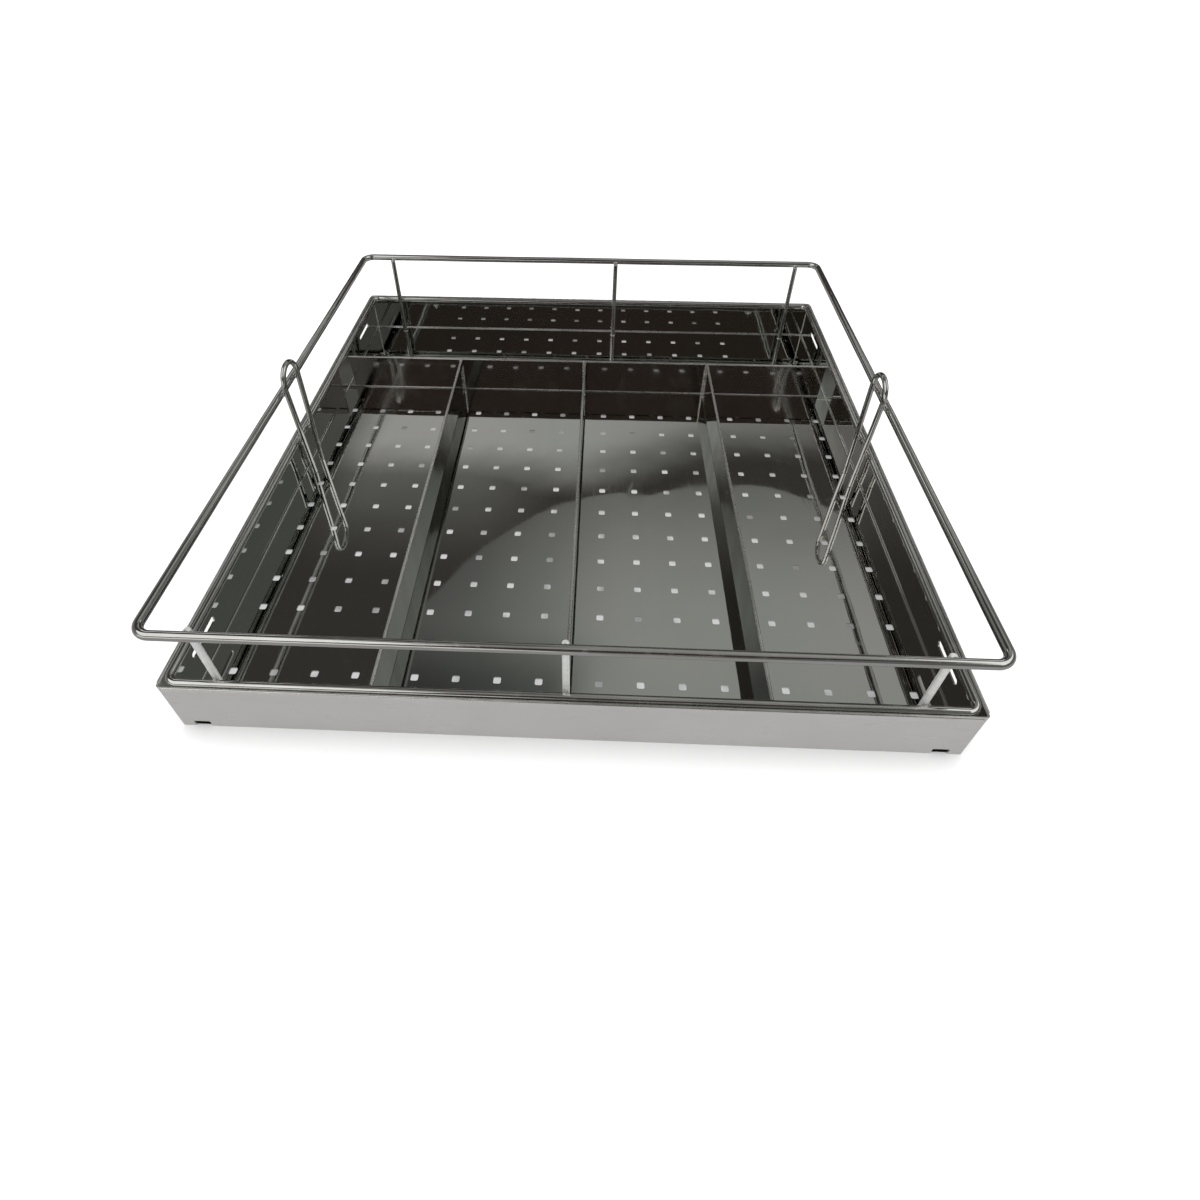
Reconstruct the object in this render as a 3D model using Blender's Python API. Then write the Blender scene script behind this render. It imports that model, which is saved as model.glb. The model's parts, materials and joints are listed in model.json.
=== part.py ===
"""Perforated sheet-steel instrument tray with a raised wire gallery and a lift-out divider grid.

Frame: origin at the centre of the tray's footprint, on the surface it rests on.
+X is to the right, +Y to the back, +Z up. Metres.
"""

import math

import bmesh
import bpy

# ---- perforation ----
HOLE_PITCH = 0.025
HOLE_SIDE = 0.0045
FRONT_ROWS = 12
FRONT_FIRST_ROW_Y = -0.1975
REAR_ROWS = 4
REAR_FIRST_ROW_Y = 0.1345
REAR_COLUMNS = 12
COLUMNS_PER_COMPARTMENT = 4

# ---- pan ----
INNER_WIDTH = 0.441
INNER_DEPTH = 0.461
SHEET = 0.001
SKIRT_HEIGHT = 0.004
FLOOR_TOP = SKIRT_HEIGHT + SHEET
WALL_TOP = 0.039
HEM_HEIGHT = 0.005
HEM_THICKNESS = 0.0012
OUTER_CORNER_RADIUS = 0.0016
INNER_CORNER_RADIUS = 0.0006

# ---- slots in the side walls, notches in the front skirt ----
SIDE_SLOT_LENGTH = 0.0295
SIDE_SLOT_HEIGHT = 0.0042
SIDE_SLOT_FROM_MIDDLE = 0.186
SIDE_SLOT_Z = 0.0228
NOTCH_LENGTH = 0.0095
NOTCH_HEIGHT = 0.0049
NOTCH_FROM_MIDDLE = 0.2085
NOTCH_OVERCUT = 0.0001

# ---- wires ----
GAP = 0.0003
RIM_WIRE_RADIUS = 0.0025
RIM_WIRE_Z = 0.0376
RIM_CORNER_RADIUS = 0.006
RAIL_RADIUS = 0.00275
RAIL_Z = 0.0804
RAIL_CORNER_RADIUS = 0.0085
POST_RADIUS = 0.002
POST_TOP_BELOW_RAIL = 0.0015
FRONT_POST_X = {"left": -0.192, "middle": 0.0, "right": 0.1906}
BACK_POST_X = {"left": -0.190, "middle": 0.026, "right": 0.1972}
LOOP_WIRE_RADIUS = 0.00195
LOOP_TOP_HALF_SPACING = 0.0127
LOOP_FOOT_HALF_SPACING = 0.0086
LOOP_TOP_Z = 0.0982
WIRE_BEVEL_RESOLUTION = 2
CORNER_STEPS = 6
LOOP_STEPS = 12

# ---- dividers ----
COMPARTMENT_PITCH = 0.111
LONG_DIVIDER_ENDS_X = {"left": (-0.1065, -0.111), "middle": (0.0, 0.0), "right": (0.1105, 0.109)}
DIVIDER_TOP = FLOOR_TOP + 0.0318
DIVIDER_SHEET = 0.001
DIVIDER_HEM_THICKNESS = 0.0024
DIVIDER_HEM_HEIGHT = 0.006
CROSS_DIVIDER_Y = 0.1165
LIFT_CLEARANCE = 0.0012
HEM_STEPS = 4

# ---- derived sizes ----
RIM_HALF_WIDTH = INNER_WIDTH / 2 - RIM_WIRE_RADIUS - GAP
RIM_HALF_DEPTH = INNER_DEPTH / 2 - RIM_WIRE_RADIUS - GAP
POST_Y = RIM_HALF_DEPTH - RAIL_RADIUS - POST_RADIUS - GAP
POST_FOOT_Z = FLOOR_TOP + GAP
POST_TOP_Z = RAIL_Z - POST_TOP_BELOW_RAIL
LOOP_X = RIM_HALF_WIDTH - RAIL_RADIUS - LOOP_WIRE_RADIUS - GAP
DIVIDER_BASE = FLOOR_TOP + GAP
CROSS_HALF_LENGTH = RIM_HALF_WIDTH - RAIL_RADIUS - LIFT_CLEARANCE
LONG_FRONT_Y = -(RIM_HALF_DEPTH - RIM_WIRE_RADIUS - LIFT_CLEARANCE)
MIDDLE_FRONT_Y = -(POST_Y - POST_RADIUS - LIFT_CLEARANCE)
LONG_BACK_Y = CROSS_DIVIDER_Y - DIVIDER_HEM_THICKNESS / 2 - GAP
CUT_MARGIN = 0.002

COLLECTION_NAME = "instrument_tray"
CUTTER_COLLECTION_NAME = "instrument_tray_cutters"


def clear_scene():
    """Empty the file of every object it starts with."""
    for item in list(bpy.data.objects):
        bpy.data.objects.remove(item, do_unlink=True)


def new_collection(name):
    """Make a collection and link it to the scene."""
    collection = bpy.data.collections.new(name)
    bpy.context.scene.collection.children.link(collection)
    return collection


def steel(name, colour, roughness):
    """A metallic Principled material."""
    material = bpy.data.materials.new(name)
    material.use_nodes = True
    shader = material.node_tree.nodes["Principled BSDF"]
    shader.inputs["Base Color"].default_value = (*colour, 1.0)
    shader.inputs["Metallic"].default_value = 1.0
    shader.inputs["Roughness"].default_value = roughness
    return material


def mesh_object(name, bm, collection, material=None):
    """Turn a bmesh into a named object."""
    mesh = bpy.data.meshes.new(name)
    bm.to_mesh(mesh)
    bm.free()
    item = bpy.data.objects.new(name, mesh)
    collection.objects.link(item)
    if material is not None:
        mesh.materials.append(material)
    return item


def add_box(bm, low, high):
    """Add one closed box between two corners and return its vertices."""
    made = bmesh.ops.create_cube(bm, size=1.0)["verts"]
    for vert in made:
        for axis in range(3):
            middle = (low[axis] + high[axis]) / 2
            vert.co[axis] = middle + vert.co[axis] * (high[axis] - low[axis])
    return made


def round_upright_edges(bm, verts, radius):
    """Round a box's four upright edges."""
    edges = {edge for vert in verts for edge in vert.link_edges}
    upright = [e for e in edges if abs(e.verts[0].co.z - e.verts[1].co.z) > 1e-6]
    bmesh.ops.bevel(bm, geom=upright, offset=radius, segments=3, profile=0.5, affect="EDGES")


def rounded_block(name, half_width, half_depth, bottom, top, radius, collection):
    """A box centred on the origin, with rounded upright edges."""
    bm = bmesh.new()
    low = (-half_width, -half_depth, bottom)
    high = (half_width, half_depth, top)
    verts = add_box(bm, low, high)
    round_upright_edges(bm, verts, radius)
    return mesh_object(name, bm, collection)


def hide_cutter(cutter):
    """A cutter is kept in the file but is not part of the tray."""
    cutter.hide_render = True
    cutter.display_type = "WIRE"


def add_boolean(target, other, operation):
    """Join or cut with the exact solver."""
    modifier = target.modifiers.new(f"{operation.lower()}_{other.name}", "BOOLEAN")
    modifier.operation = operation
    modifier.solver = "EXACT"
    modifier.object = other


def hole_centres():
    """Yield the centre of every perforation in the floor."""
    half_group = (COLUMNS_PER_COMPARTMENT - 1) / 2
    for compartment in (-1.5, -0.5, 0.5, 1.5):
        for column in range(COLUMNS_PER_COMPARTMENT):
            x = compartment * COMPARTMENT_PITCH + (column - half_group) * HOLE_PITCH
            for row in range(FRONT_ROWS):
                yield x, FRONT_FIRST_ROW_Y + row * HOLE_PITCH
    for column in range(REAR_COLUMNS):
        x = (column - (REAR_COLUMNS - 1) / 2) * HOLE_PITCH
        for row in range(REAR_ROWS):
            yield x, REAR_FIRST_ROW_Y + row * HOLE_PITCH


def make_perforation_cutter(collection):
    """One square punch for each hole in the floor."""
    bm = bmesh.new()
    half = HOLE_SIDE / 2
    for x, y in hole_centres():
        low = (x - half, y - half, SKIRT_HEIGHT - CUT_MARGIN)
        high = (x + half, y + half, FLOOR_TOP + CUT_MARGIN)
        add_box(bm, low, high)
    return mesh_object("cut_perforation", bm, collection)


def make_slot_cutter(collection):
    """Long slots in the side walls and open notches in the front skirt's lower edge."""
    bm = bmesh.new()
    half_width = INNER_WIDTH / 2
    half_depth = INNER_DEPTH / 2
    for side in (-1, 1):
        for end in (-1, 1):
            y = end * SIDE_SLOT_FROM_MIDDLE
            x_inner = side * (half_width - CUT_MARGIN)
            x_outer = side * (half_width + SHEET + CUT_MARGIN)
            low = (min(x_inner, x_outer), y - SIDE_SLOT_LENGTH / 2, SIDE_SLOT_Z - SIDE_SLOT_HEIGHT / 2)
            high = (max(x_inner, x_outer), y + SIDE_SLOT_LENGTH / 2, SIDE_SLOT_Z + SIDE_SLOT_HEIGHT / 2)
            add_box(bm, low, high)
        x = side * NOTCH_FROM_MIDDLE
        y_outer = -(half_depth + SHEET + CUT_MARGIN)
        y_inner = -(half_depth - NOTCH_OVERCUT)
        low = (x - NOTCH_LENGTH / 2, y_outer, -CUT_MARGIN)
        high = (x + NOTCH_LENGTH / 2, y_inner, NOTCH_HEIGHT)
        add_box(bm, low, high)
    return mesh_object("cut_slots", bm, collection)


def make_pan(parts, cutters, material):
    """Folded pan: walls with a hemmed top, raised perforated floor and open skirt below it."""
    half_width = INNER_WIDTH / 2
    half_depth = INNER_DEPTH / 2
    outer_width = half_width + SHEET
    outer_depth = half_depth + SHEET
    pan = rounded_block("tray_pan", outer_width, outer_depth, 0.0, WALL_TOP, OUTER_CORNER_RADIUS, parts)
    pan.data.materials.append(material)
    hem = rounded_block(
        "join_hem",
        outer_width + HEM_THICKNESS,
        outer_depth + HEM_THICKNESS,
        WALL_TOP - HEM_HEIGHT,
        WALL_TOP,
        OUTER_CORNER_RADIUS + HEM_THICKNESS,
        cutters,
    )
    cavity = rounded_block(
        "cut_cavity", half_width, half_depth, FLOOR_TOP, WALL_TOP + CUT_MARGIN, INNER_CORNER_RADIUS, cutters
    )
    recess = rounded_block(
        "cut_recess", half_width, half_depth, -CUT_MARGIN, SKIRT_HEIGHT, INNER_CORNER_RADIUS, cutters
    )
    add_boolean(pan, hem, "UNION")
    add_boolean(pan, cavity, "DIFFERENCE")
    add_boolean(pan, recess, "DIFFERENCE")
    for cutter in (make_slot_cutter(cutters), make_perforation_cutter(cutters)):
        add_boolean(pan, cutter, "DIFFERENCE")
    for cutter in cutters.objects:
        hide_cutter(cutter)
    return pan


def arc(centre, radius, start, stop, steps):
    """Points on an arc in a plane, as (u, v) pairs, ends included. Angles in degrees."""
    points = []
    for step in range(steps + 1):
        angle = math.radians(start + (stop - start) * step / steps)
        points.append((centre[0] + radius * math.cos(angle), centre[1] + radius * math.sin(angle)))
    return points


def wire(name, points, radius, material, collection, closed=False):
    """A round wire along a run of straight segments."""
    curve = bpy.data.curves.new(name, "CURVE")
    curve.dimensions = "3D"
    curve.bevel_depth = radius
    curve.bevel_resolution = WIRE_BEVEL_RESOLUTION
    curve.use_fill_caps = not closed
    spline = curve.splines.new("POLY")
    spline.points.add(len(points) - 1)
    for point, place in zip(spline.points, points):
        point.co = (*place, 1.0)
    spline.use_cyclic_u = closed
    spline.use_smooth = True
    curve.materials.append(material)
    item = bpy.data.objects.new(name, curve)
    collection.objects.link(item)
    return item


def ring_points(half_width, half_depth, corner_radius, z):
    """A rectangle with rounded corners at one height."""
    points = []
    x = half_width - corner_radius
    y = half_depth - corner_radius
    for corner, (cx, cy) in enumerate(((x, y), (-x, y), (-x, -y), (x, -y))):
        for u, v in arc((cx, cy), corner_radius, 90 * corner, 90 * corner + 90, CORNER_STEPS):
            points.append((u, v, z))
    return points


def make_rings(parts, material):
    """Rim wire inside the wall's top edge, and the gallery rail above it."""
    rim = ring_points(RIM_HALF_WIDTH, RIM_HALF_DEPTH, RIM_CORNER_RADIUS, RIM_WIRE_Z)
    wire("rim_wire", rim, RIM_WIRE_RADIUS, material, parts, closed=True)
    rail = ring_points(RIM_HALF_WIDTH, RIM_HALF_DEPTH, RAIL_CORNER_RADIUS, RAIL_Z)
    wire("gallery_rail", rail, RAIL_RADIUS, material, parts, closed=True)


def make_post(name, x, side, parts, material):
    """A straight upright from the floor, past the rim wire to the rail."""
    foot = (x, side * POST_Y, POST_FOOT_Z)
    top = (x, side * POST_Y, POST_TOP_Z)
    wire(name, [foot, top], POST_RADIUS, material, parts)


def make_posts(parts, material):
    """Three uprights at the front and three at the back."""
    for place, x in FRONT_POST_X.items():
        make_post(f"post_front_{place}", x, -1, parts, material)
    for place, x in BACK_POST_X.items():
        make_post(f"post_back_{place}", x, 1, parts, material)


def make_side_loop(name, side, parts, material):
    """A hairpin standing on the floor inside a side wall, closed and widest above the rail."""
    x = side * LOOP_X
    centre_z = LOOP_TOP_Z - LOOP_TOP_HALF_SPACING
    points = [(x, LOOP_FOOT_HALF_SPACING, FLOOR_TOP + GAP)]
    for y, z in arc((0.0, centre_z), LOOP_TOP_HALF_SPACING, 0, 180, LOOP_STEPS):
        points.append((x, y, z))
    points.append((x, -LOOP_FOOT_HALF_SPACING, FLOOR_TOP + GAP))
    wire(name, points, LOOP_WIRE_RADIUS, material, parts)


def divider_profile():
    """Cross-section of a divider: a thin web whose top is folded over and rounded."""
    web = DIVIDER_SHEET / 2
    hem = DIVIDER_HEM_THICKNESS / 2
    height = DIVIDER_TOP - DIVIDER_BASE
    outline = [(-web, 0.0), (web, 0.0), (web, height - DIVIDER_HEM_HEIGHT)]
    outline.append((hem, height - DIVIDER_HEM_HEIGHT + hem - web))
    outline += arc((0.0, height - hem), hem, 0, 180, HEM_STEPS)
    outline.append((-hem, height - DIVIDER_HEM_HEIGHT + hem - web))
    outline.append((-web, height - DIVIDER_HEM_HEIGHT))
    return outline


def make_divider(name, start, end, along_x, parts, material):
    """Sweep the divider's upright cross-section from one end of its run to the other."""
    bm = bmesh.new()
    verts = []
    for u, v in divider_profile():
        place = (start[0], start[1] + u, v) if along_x else (start[0] + u, start[1], v)
        verts.append(bm.verts.new((place[0], place[1], DIVIDER_BASE + place[2])))
    face = bm.faces.new(verts)
    made = bmesh.ops.extrude_face_region(bm, geom=[face])["geom"]
    moved = [item for item in made if isinstance(item, bmesh.types.BMVert)]
    shift = (end[0] - start[0], end[1] - start[1], 0.0)
    bmesh.ops.translate(bm, verts=moved, vec=shift)
    bmesh.ops.recalc_face_normals(bm, faces=bm.faces)
    return mesh_object(name, bm, parts, material)


def make_dividers(parts, material):
    """One divider across the tray and three from the front wall to it."""
    cross_start = (-CROSS_HALF_LENGTH, CROSS_DIVIDER_Y)
    cross_end = (CROSS_HALF_LENGTH, CROSS_DIVIDER_Y)
    make_divider("cross_divider", cross_start, cross_end, True, parts, material)
    fronts = {"left": LONG_FRONT_Y, "middle": MIDDLE_FRONT_Y, "right": LONG_FRONT_Y}
    for place, (front_x, back_x) in LONG_DIVIDER_ENDS_X.items():
        start = (front_x, fronts[place])
        make_divider(f"long_divider_{place}", start, (back_x, LONG_BACK_Y), False, parts, material)


def main():
    """Build the tray."""
    clear_scene()
    parts = new_collection(COLLECTION_NAME)
    cutters = new_collection(CUTTER_COLLECTION_NAME)
    sheet_steel = steel("polished_sheet", (0.62, 0.62, 0.61), 0.06)
    wire_steel = steel("bright_wire", (0.72, 0.72, 0.71), 0.1)
    divider_steel = steel("divider_sheet", (0.6, 0.6, 0.59), 0.07)
    make_pan(parts, cutters, sheet_steel)
    make_rings(parts, wire_steel)
    make_posts(parts, wire_steel)
    make_side_loop("side_loop_left", -1, parts, wire_steel)
    make_side_loop("side_loop_right", 1, parts, wire_steel)
    make_dividers(parts, divider_steel)


main()
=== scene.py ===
"""Looks of the instrument tray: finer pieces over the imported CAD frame, materials, light and camera."""

import json
import math

import bmesh
import bpy
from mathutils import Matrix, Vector, noise


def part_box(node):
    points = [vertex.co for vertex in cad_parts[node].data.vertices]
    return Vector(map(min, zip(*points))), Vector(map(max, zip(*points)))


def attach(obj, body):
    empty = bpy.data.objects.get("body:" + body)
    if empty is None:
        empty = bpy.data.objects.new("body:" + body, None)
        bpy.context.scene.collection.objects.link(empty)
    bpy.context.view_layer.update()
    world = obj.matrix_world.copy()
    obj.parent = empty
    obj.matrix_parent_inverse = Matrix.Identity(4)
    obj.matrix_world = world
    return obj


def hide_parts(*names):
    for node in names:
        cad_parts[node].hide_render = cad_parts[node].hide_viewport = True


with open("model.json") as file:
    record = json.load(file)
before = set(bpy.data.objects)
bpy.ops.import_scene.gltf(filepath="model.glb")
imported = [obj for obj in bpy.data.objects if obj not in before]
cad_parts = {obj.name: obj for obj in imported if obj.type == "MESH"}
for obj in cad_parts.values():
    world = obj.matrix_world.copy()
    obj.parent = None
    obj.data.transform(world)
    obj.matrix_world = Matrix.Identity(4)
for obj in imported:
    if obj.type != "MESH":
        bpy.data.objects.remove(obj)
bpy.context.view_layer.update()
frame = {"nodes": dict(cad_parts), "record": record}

MM = 0.001

# ---- sheet and folds ----
SHEET = 1.0 * MM
HEM_GAP = 0.2 * MM
HEM_STEPS = 12
HEM_INSIDE_STEPS = 4
EDGE_BREAK = 0.15 * MM
CORNER_STEPS = 8
SMALL_CORNER_STEPS = 4
FILLET_STEPS = 6
INNER_CORNER_RADIUS = 0.6 * MM
FLOOR_FILLET = 1.3 * MM
FLOOR_TUCK = 0.3 * MM
HEM_HEIGHT = 5 * MM
HEM_STOP = 3.5 * MM
HEM_CLEARANCE = 0.03 * MM

# ---- perforation and slots, as in the CAD ----
HOLE_PITCH = 25 * MM
HOLE_SIDE = 4.5 * MM
HOLE_CORNER = 1.0 * MM
COMPARTMENT_PITCH = 111 * MM
FRONT_ROWS = 12
FRONT_FIRST_ROW_Y = -197.5 * MM
REAR_ROWS = 4
REAR_FIRST_ROW_Y = 134.5 * MM
REAR_COLUMNS = 12
COLUMNS_PER_COMPARTMENT = 4
SIDE_SLOT = (29.5 * MM, 4.2 * MM)
SIDE_SLOT_FROM_MIDDLE = 186 * MM
SIDE_SLOT_Z = 22.8 * MM
SIDE_SLOT_CORNER = SIDE_SLOT[1] / 2.2
SLOT_CORNER_STEPS = 5
NOTCH_LENGTH = 9.5 * MM
NOTCH_HEIGHT = 4.9 * MM
NOTCH_CORNER = 0.8 * MM
NOTCH_FROM_MIDDLE = 208.5 * MM
NOTCH_OVERCUT = 0.1 * MM
CUT_MARGIN = 2 * MM

# ---- wires ----
TUBE_SIDES = 24
STRAIGHT_STEP = 14 * MM
WOBBLE = 0.16 * MM
WOBBLES_PER_METRE = 14
RIM_CORNER_RADIUS = 6 * MM
RAIL_CORNER_RADIUS = 8.5 * MM
RING_CORNER_STEPS = 12
DOME_STEPS = 4
DOME_DEPTH_IN_RADII = 0.5
HAIRPIN_BEND_STEPS = 24
LOOP_FOOT_HALF_SPACING = 8.6 * MM

# ---- dividers ----
DIVIDER_SHEET = 1.0 * MM
DIVIDER_FOLD_HEIGHT = 6 * MM
DIVIDER_CAD_HALF_THICKNESS = 1.2 * MM
TOE = 0.8 * MM
TOE_STEPS = 5
# The web's middle lies this far to one side of the fold's middle.
WEB_FROM_FOLD_MIDDLE = 0.6 * DIVIDER_SHEET
# Slope of the long webs' mirror image, which leans although the sheet stands upright.
WEB_LEAN = 0.09

# ---- welds: half sizes of a nugget along x, y and z ----
POST_RING_WELD = (1.7 * MM, 0.9 * MM, 1.2 * MM)
POST_FOOT_WELD = (2.5 * MM, 2.5 * MM, 0.7 * MM)
HAIRPIN_RING_WELD = (1.0 * MM, 1.6 * MM, 1.3 * MM)
HAIRPIN_FOOT_WELD = (2.2 * MM, 2.3 * MM, 0.7 * MM)
TACK_ALONG_X = (1.7 * MM, 0.75 * MM, 0.9 * MM)
TACK_ALONG_Y = (0.75 * MM, 1.7 * MM, 0.9 * MM)
DIVIDER_BEAD = (0.7 * MM, 0.8 * MM, 2.6 * MM)
WELD_OFFSET = 0.1 * MM
POST_WELD_DROP = 0.4 * MM
# Tacks along a wall, in shares of its half length; then how far out from and below the wire's middle.
TACK_SHARES = (-0.82, -0.41, 0.0, 0.41, 0.82)
TACK_OUT_IN_RADII = 0.72
TACK_DOWN_IN_RADII = 0.75
# Beads up a divider corner, in shares of its height, on both sides of the web.
BEAD_SHARES = (0.06, 0.17, 0.28, 0.39, 0.5, 0.61, 0.72, 0.83, 0.94)
BEAD_FROM_WEB_MIDDLE = 0.6 * DIVIDER_SHEET
NUGGET_LUMPINESS = 0.16

# ---- folds sharper than this, in degrees, are shaded as edges ----
SHEET_SHARP_ANGLE = 35
TUBE_SHARP_ANGLE = 50
WELD_SHARP_ANGLE = 80

# ---- the photograph's viewpoint: sensor and lens in mm, place in metres, angles in degrees ----
CAMERA_SENSOR = 36.0
CAMERA_LENS = 20.769
CAMERA_SHIFT = (0.0221, -0.0667)
CAMERA_PLACE = (0.0126, -0.4294, 0.3618)
CAMERA_TILT = 46.3
CAMERA_TURN = 2.39


# ================= meshes =================

def arc(centre, radius, start, stop, steps):
    """Points on an arc in a plane, ends included. Angles in degrees."""
    points = []
    for step in range(steps + 1):
        angle = math.radians(start + (stop - start) * step / steps)
        points.append((centre[0] + radius * math.cos(angle), centre[1] + radius * math.sin(angle)))
    return points


def finish_mesh(name, bm, material, sharp_angle=SHEET_SHARP_ANGLE):
    """Turn a bmesh into an object whose soft edges are shaded smooth."""
    bmesh.ops.recalc_face_normals(bm, faces=bm.faces)
    mesh = bpy.data.meshes.new(name)
    bm.to_mesh(mesh)
    bm.free()
    mesh.materials.append(material)
    mesh.polygons.foreach_set("use_smooth", [True] * len(mesh.polygons))
    mesh.set_sharp_from_angle(angle=math.radians(sharp_angle))
    item = bpy.data.objects.new(name, mesh)
    bpy.context.scene.collection.objects.link(item)
    keep_flats_flat(item)
    return item


def paint(item, material, chosen):
    """Give one more finish to the faces whose centre is chosen."""
    mesh = item.data
    mesh.materials.append(material)
    for face in mesh.polygons:
        if chosen(face.center):
            face.material_index = len(mesh.materials) - 1


def keep_flats_flat(item):
    """Weigh normals by face area, so that a large flat face next to a bend still mirrors as a flat."""
    modifier = item.modifiers.new("weighted_normals", "WEIGHTED_NORMAL")
    modifier.keep_sharp = True
    modifier.weight = 100


def add_piece(item, body, slot, *nodes):
    """Ride a body and stand in for CAD nodes; the slot argument is not used."""
    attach(item, body)
    if nodes:
        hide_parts(*nodes)
    return item


def corner_arcs(half_width, half_height, radius, steps, cu=0.0, cv=0.0):
    """The four corner arcs of a rounded rectangle about a centre, anticlockwise."""
    arcs = []
    u = half_width - radius
    v = half_height - radius
    for corner, (su, sv) in enumerate(((1, 1), (-1, 1), (-1, -1), (1, -1))):
        centre = (cu + su * u, cv + sv * v)
        arcs.append(arc(centre, radius, 90 * corner, 90 * corner + 90, steps))
    return arcs


def rounded_outline(width, height, radius, steps, cu=0.0, cv=0.0):
    """A rounded rectangle about a centre, as one list of points."""
    outline = []
    for points in corner_arcs(width / 2, height / 2, radius, steps, cu, cv):
        outline += points
    return outline


def sweep_round_rectangle(profile, half_width, half_depth, corner_radius):
    """Carry a closed (outward, height) profile round a rectangle measured where outward is 0."""
    bm = bmesh.new()
    rings = []
    for outward, height in profile:
        width = 2 * (half_width + outward)
        depth = 2 * (half_depth + outward)
        ring = rounded_outline(width, depth, corner_radius + outward, CORNER_STEPS)
        rings.append([bm.verts.new((x, y, height)) for x, y in ring])
    count = len(rings[0])
    for here, there in zip(rings, rings[1:] + rings[:1]):
        for index in range(count):
            after = (index + 1) % count
            bm.faces.new((here[index], here[after], there[after], there[index]))
    return bm


def add_prism(bm, outline, low, high, place):
    """Extrude a closed outline between two levels; place turns (u, v, level) into a world point."""
    bottom = [bm.verts.new(place(u, v, low)) for u, v in outline]
    top = [bm.verts.new(place(u, v, high)) for u, v in outline]
    bm.faces.new(bottom)
    bm.faces.new(list(reversed(top)))
    count = len(outline)
    for index in range(count):
        after = (index + 1) % count
        bm.faces.new((bottom[index], top[index], top[after], bottom[after]))


def upright(u, v, level):
    """A place function for prisms that stand on the ground plane."""
    return u, v, level


def apply_cut(item, cutter_bm):
    """Cut a bmesh of closed solids out of an object, and leave no modifier or cutter behind."""
    bmesh.ops.recalc_face_normals(cutter_bm, faces=cutter_bm.faces)
    mesh = bpy.data.meshes.new("cutter")
    cutter_bm.to_mesh(mesh)
    cutter_bm.free()
    cutter = bpy.data.objects.new("cutter", mesh)
    bpy.context.scene.collection.objects.link(cutter)
    item.modifiers.clear()
    modifier = item.modifiers.new("cut", "BOOLEAN")
    modifier.operation = "DIFFERENCE"
    modifier.solver = "EXACT"
    modifier.object = cutter
    bpy.context.view_layer.update()
    shaped = item.evaluated_get(bpy.context.evaluated_depsgraph_get())
    result = bpy.data.meshes.new_from_object(shaped)
    item.modifiers.clear()
    item.data = result
    bpy.data.objects.remove(cutter, do_unlink=True)
    result.polygons.foreach_set("use_smooth", [True] * len(result.polygons))
    result.set_sharp_from_angle(angle=math.radians(SHEET_SHARP_ANGLE))
    keep_flats_flat(item)


# ================= nodes =================

class Nodes:
    """A thin layer over a node tree, so that materials read as one line per node."""

    def __init__(self, tree):
        self.tree = tree
        tree.nodes.clear()

    def add(self, kind, **settings):
        node = self.tree.nodes.new(kind)
        for key, value in settings.items():
            setattr(node, key, value)
        return node

    def link(self, source, target):
        self.tree.links.new(source, target)

    def feed(self, socket, value):
        """Give a socket a number, a colour or another node's output."""
        if isinstance(value, bpy.types.NodeSocket):
            self.link(value, socket)
        elif isinstance(value, tuple) and len(value) == 3 and socket.type == "RGBA":
            socket.default_value = (*value, 1.0)
        else:
            socket.default_value = value

    def surface(self, shader, kind="ShaderNodeOutputMaterial"):
        """Send a shader's output to what is rendered."""
        self.link(shader, self.add(kind).inputs["Surface"])

    def math(self, operation, a, b=0.0):
        node = self.add("ShaderNodeMath", operation=operation)
        for socket, value in zip(node.inputs, (a, b)):
            self.feed(socket, value)
        return node.outputs[0]

    def ramp(self, value, low, high, out_low=0.0, out_high=1.0):
        """Map low..high to out_low..out_high, eased at both ends and clamped."""
        node = self.add("ShaderNodeMapRange", interpolation_type="SMOOTHSTEP")
        for socket, number in zip(node.inputs, (value, low, high, out_low, out_high)):
            self.feed(socket, number)
        return node.outputs[0]

    def mix(self, factor, a, b):
        """Mix two colours."""
        node = self.add("ShaderNodeMix", data_type="RGBA")
        self.feed(node.inputs[0], factor)
        self.feed(node.inputs[6], a)
        self.feed(node.inputs[7], b)
        return node.outputs[2]

    def coordinates(self, kind, scale, turn=(0.0, 0.0, 0.0)):
        """One kind of texture coordinates, scaled and turned."""
        mapping = self.add("ShaderNodeMapping")
        self.link(self.add("ShaderNodeTexCoord").outputs[kind], mapping.inputs["Vector"])
        mapping.inputs["Scale"].default_value = scale
        mapping.inputs["Rotation"].default_value = turn
        return mapping.outputs[0]

    def object_coordinates(self, scale=(1.0, 1.0, 1.0), turn=(0.0, 0.0, 0.0)):
        return self.coordinates("Object", scale, turn)

    def uv_coordinates(self, scale):
        return self.coordinates("UV", scale)

    def split(self, vector):
        """The three parts of a vector."""
        node = self.add("ShaderNodeSeparateXYZ")
        self.link(vector, node.inputs[0])
        return node.outputs

    def noise(self, vector, scale, detail=2.0, distortion=0.0):
        node = self.add("ShaderNodeTexNoise")
        self.link(vector, node.inputs["Vector"])
        node.inputs["Scale"].default_value = scale
        node.inputs["Detail"].default_value = detail
        node.inputs["Distortion"].default_value = distortion
        return node.outputs[0]

    def cracks(self, vector, scale):
        """Distance to the nearest cell edge of a Voronoi pattern."""
        node = self.add("ShaderNodeTexVoronoi", feature="DISTANCE_TO_EDGE")
        self.link(vector, node.inputs["Vector"])
        node.inputs["Scale"].default_value = scale
        return node.outputs["Distance"]

    def bump(self, height, distance, before=None):
        node = self.add("ShaderNodeBump")
        node.inputs["Distance"].default_value = distance
        self.link(height, node.inputs["Height"])
        if before is not None:
            self.link(before, node.inputs["Normal"])
        return node.outputs[0]


def new_material(name):
    """An empty node material and its nodes."""
    material = bpy.data.materials.new(name)
    material.use_nodes = True
    return material, Nodes(material.node_tree)


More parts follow.
